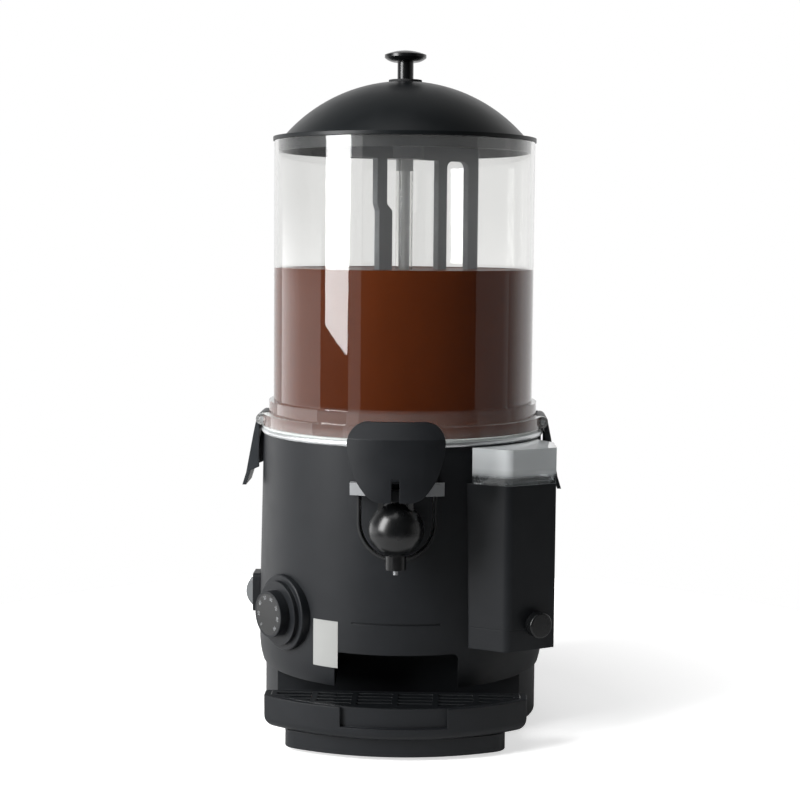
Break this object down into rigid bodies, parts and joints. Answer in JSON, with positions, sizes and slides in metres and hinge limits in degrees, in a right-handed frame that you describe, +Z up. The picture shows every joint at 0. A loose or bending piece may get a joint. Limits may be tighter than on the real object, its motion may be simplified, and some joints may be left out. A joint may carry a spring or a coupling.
{
  "type": "hot chocolate dispenser",
  "caption": "Countertop drink dispenser with a clear heated bowl, domed lid, stirrer, lever tap, side latches, thermostat dial, rocker switch, water filler and slide-out drip tray.",
  "frame": {"origin": "middle of the object's footprint on the counter", "axes": "+Z up, -Y out of the front towards the person served, +X to the right seen from the front"},
  "size_m": [0.28, 0.306, 0.5803],
  "materials": {
    "black_plastic": "satin moulded",
    "black_gloss": "polished moulded",
    "clear_plastic": "clear moulded",
    "bright_steel": "polished stainless",
    "zinc_steel": "zinc plated",
    "rubber": "soft matte",
    "pale_plastic": "natural moulded",
    "grey_plastic": "satin moulded",
    "stirrer_plastic": "satin moulded",
    "chocolate": "smooth liquid",
    "motor_metal": "plated steel can"
  },
  "bodies": {
    "base": {"base": "black_plastic", "bottom_plate": "zinc_steel", "rubber_feet": "rubber", "plate_screws": "zinc_steel", "body_shell": "black_plastic", "water_tank": "bright_steel", "heater": "bright_steel", "thermal_cutout": "zinc_steel", "rod_bush": "pale_plastic", "motor_bracket": "zinc_steel", "gearbox": "motor_metal", "gearbox_screws": "zinc_steel", "motor": "motor_metal", "terminal_block": "pale_plastic", "cord_gland": "black_plastic", "thermostat": "pale_plastic", "dial_bezel": "black_plastic", "switch_bezel": "black_plastic", "switch_body": "black_plastic", "filler_box": "black_plastic", "filler_base": "black_plastic", "water_pipe": "pale_plastic"},
    "bowl": {"bowl": "clear_plastic", "latch_pins": "bright_steel", "bowl_gasket": "pale_plastic", "riser_bush": "pale_plastic", "chocolate": "chocolate", "tap_faceplate": "black_plastic", "tap_body": "black_gloss", "tap_nozzle": "black_plastic", "lever_pin": "bright_steel", "tap_yoke": "pale_plastic"},
    "lid": {"lid": "black_plastic", "knob_washer": "rubber", "lid_knob": "black_gloss", "knob_screw": "zinc_steel"},
    "stirrer": {"stirrer_hub": "pale_plastic", "stirrer_frame": "stirrer_plastic", "stirrer_blades": "stirrer_plastic"},
    "drive_rod": {"drive_rod": "bright_steel", "rod_coupling": "zinc_steel"},
    "latch_left": {"latch_left": "black_plastic"},
    "latch_right": {"latch_right": "black_plastic"},
    "tap_lever": {"tap_lever": "black_plastic"},
    "valve": {"valve_piston": "black_plastic", "drip_needle": "bright_steel", "piston_seal": "rubber", "tap_spring": "bright_steel"},
    "dial": {"dial_knob": "black_plastic", "dial_face": "grey_plastic", "dial_spindle": "zinc_steel"},
    "rocker": {"rocker": "grey_plastic"},
    "drip_tray": {"drip_tray": "black_plastic"},
    "drip_grid": {"drip_grid": "black_plastic"},
    "filler_cap": {"filler_cap": "clear_plastic"},
    "drain_plug": {"drain_plug": "black_plastic", "drain_seal": "rubber"}
  },
  "joints": [
    {"name": "bowl_lift", "type": "slide", "parent": "base", "child": "bowl", "axis": [0, 0, 1], "range_m": [0, 0.33]},
    {"name": "lid_lift", "type": "slide", "parent": "bowl", "child": "lid", "axis": [0, 0, 1], "range_m": [0, 0.12]},
    {"name": "rod_turn", "type": "hinge", "parent": "base", "child": "drive_rod", "pos_m": [0, 0.017, 0.112], "axis": [0, 0, 1], "continuous": true},
    {"name": "stirrer_turn", "type": "hinge", "parent": "bowl", "child": "stirrer", "pos_m": [0, 0.017, 0.4863], "axis": [0, 0, 1], "continuous": true},
    {"name": "latch_left_swing", "type": "hinge", "parent": "bowl", "child": "latch_left", "pos_m": [-0.1225, 0.017, 0.259], "axis": [0, 1, 0], "range_deg": [0, 100]},
    {"name": "latch_right_swing", "type": "hinge", "parent": "bowl", "child": "latch_right", "pos_m": [0.1225, 0.017, 0.259], "axis": [0, -1, 0], "range_deg": [0, 100]},
    {"name": "tap_lever_pull", "type": "hinge", "parent": "bowl", "child": "tap_lever", "pos_m": [0, -0.139, 0.214], "axis": [1, 0, 0], "range_deg": [0, 40], "stiffness_Nm_per_rad": 0.6},
    {"name": "valve_lift", "type": "slide", "parent": "bowl", "child": "valve", "axis": [0, 0, 1], "range_m": [0, 0.0084], "deforming": ["tap_spring"]},
    {"name": "dial_turn", "type": "hinge", "parent": "base", "child": "dial", "pos_m": [-0.1025, -0.069, 0.101], "axis": [0.766, 0.6428, 0], "range_deg": [0, 270]},
    {"name": "rocker_tilt", "type": "hinge", "parent": "base", "child": "rocker", "pos_m": [-0.1275, 0.017, 0.102], "axis": [0, 1, 0], "range_deg": [0, 16]},
    {"name": "tray_slide", "type": "slide", "parent": "base", "child": "drip_tray", "axis": [0, -1, 0], "range_m": [0, 0.12]},
    {"name": "grid_lift", "type": "slide", "parent": "drip_tray", "child": "drip_grid", "axis": [0, 0, 1], "range_m": [0, 0.028]},
    {"name": "filler_cap_lift", "type": "slide", "parent": "base", "child": "filler_cap", "axis": [0, 0, 1], "range_m": [0, 0.06]},
    {"name": "drain_plug_pull", "type": "slide", "parent": "base", "child": "drain_plug", "axis": [0.5002, -0.8659, 0], "range_m": [0, 0.03]}
  ],
  "couplings": [
    {"joint": "rod_turn", "follows": "stirrer_turn", "ratio": 1},
    {"joint": "valve_lift", "follows": "tap_lever_pull", "m_per_rad": 0.012032}
  ]
}
